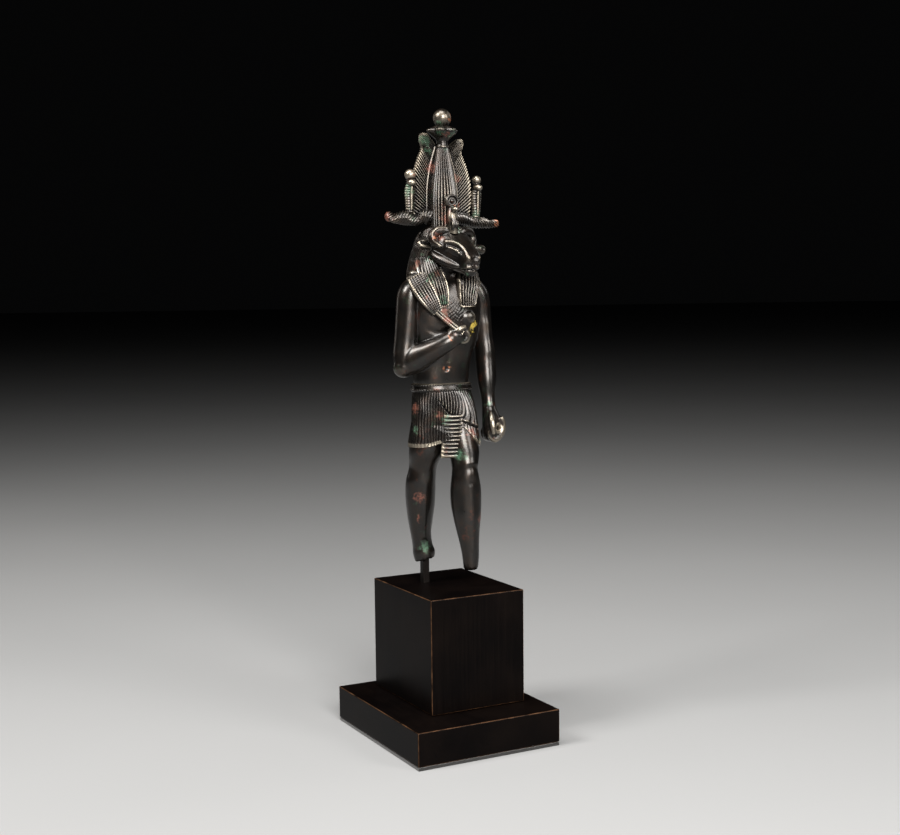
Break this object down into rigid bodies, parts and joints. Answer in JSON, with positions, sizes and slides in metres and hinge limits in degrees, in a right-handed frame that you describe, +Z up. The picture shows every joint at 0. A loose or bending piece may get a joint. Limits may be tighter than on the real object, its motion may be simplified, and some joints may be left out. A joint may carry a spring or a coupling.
{
  "type": "ram-headed bronze statuette on a stepped base",
  "caption": "Small cast-bronze standing figure with a ram's head, pleated kilt, flail and tall plumed crown, legs broken above the feet, held by a square rod over a stepped base; display piece.",
  "frame": {"origin": "middle of the underside of the base", "axes": "+Z up, the figure faces -Y, its left side is at +X"},
  "size_m": [0.0686, 0.081, 0.275],
  "materials": {
    "bronze": "cast bronze with a dark brown-black patina, red-brown and green spots, rubbed glossy",
    "rod_steel": "blackened steel, satin",
    "base_wood": "ebonised and waxed hardwood with lightly worn arrises",
    "felt": "black felt pad"
  },
  "bodies": {
    "root": {"figure": "bronze", "mount_rod": "rod_steel", "block": "base_wood", "plinth": "base_wood", "base_pad": "felt"}
  },
  "joints": []
}
